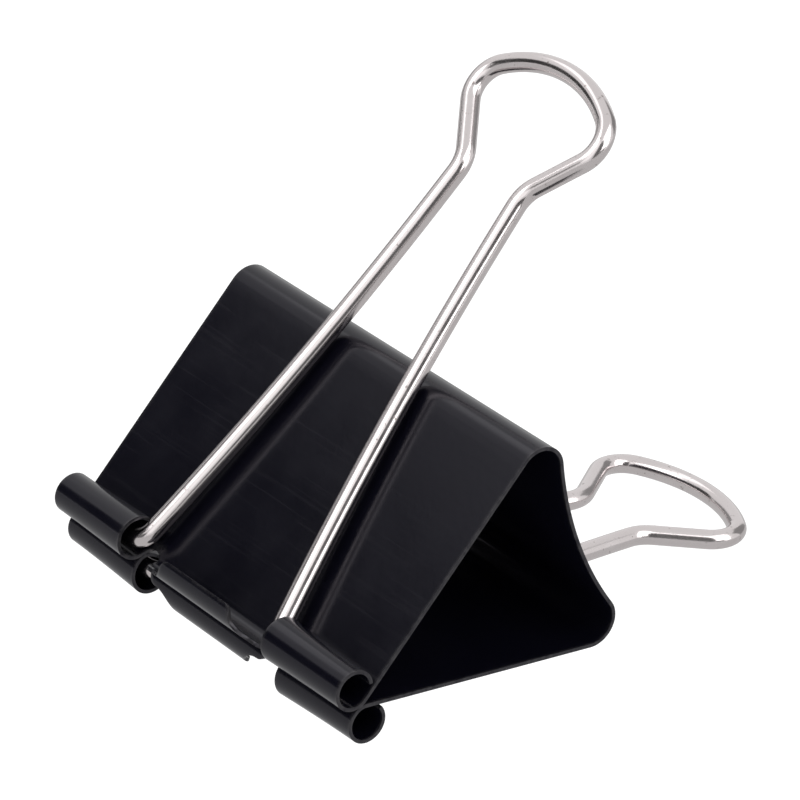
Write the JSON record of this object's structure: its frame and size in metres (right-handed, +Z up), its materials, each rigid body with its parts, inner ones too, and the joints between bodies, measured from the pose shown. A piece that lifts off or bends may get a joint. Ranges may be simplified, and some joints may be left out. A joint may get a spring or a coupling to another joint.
{
  "type": "binder clip",
  "caption": "Binder clip: a folded spring-steel body with rolled edges that hold two bent-wire lever handles, which squeeze to open the mouth and fold flat over it.",
  "frame": {"origin": "on the table, under the middle of the clip's box, as the clip lies on its lower rolled edge and on the end of its lower handle", "axes": "+X along the mouth, +Y from the mouth towards the back and the lower handle's loop, +Z up from the table; the plane between the jaws rises 24.2 degrees from the table towards +Y"},
  "size_m": [0.051, 0.0702, 0.0568],
  "materials": {
    "black_lacquer": "glossy black lacquer on spring steel",
    "nickel_wire": "bright nickel plating on steel wire"
  },
  "bodies": {
    "back": {"back_spine": "black_lacquer"},
    "upper_jaw": {"upper_jaw": "black_lacquer"},
    "lower_jaw": {"lower_jaw": "black_lacquer"},
    "upper_handle": {"upper_handle": "nickel_wire"},
    "lower_handle": {"lower_handle": "nickel_wire"}
  },
  "joints": [
    {"name": "upper_jaw_flex", "type": "hinge", "parent": "back", "child": "upper_jaw", "pos_m": [0, -0.01322, 0.02713], "axis": [-1, 0, 0], "range_deg": [0, 24], "stiffness_Nm_per_rad": 1.2},
    {"name": "lower_jaw_flex", "type": "hinge", "parent": "back", "child": "lower_jaw", "pos_m": [0, -0.00242, 0.00311], "axis": [1, 0, 0], "range_deg": [0, 24], "stiffness_Nm_per_rad": 1.2},
    {"name": "upper_handle_swing", "type": "hinge", "parent": "upper_jaw", "child": "upper_handle", "pos_m": [0, -0.03291, 0.0063], "axis": [1, 0, 0], "range_deg": [0, 155]},
    {"name": "lower_handle_swing", "type": "hinge", "parent": "lower_jaw", "child": "lower_handle", "pos_m": [0, -0.03106, 0.0022], "axis": [-1, 0, 0], "range_deg": [0, 155]}
  ],
  "couplings": [
    {"joint": "lower_jaw_flex", "follows": "upper_jaw_flex", "ratio": 1}
  ]
}
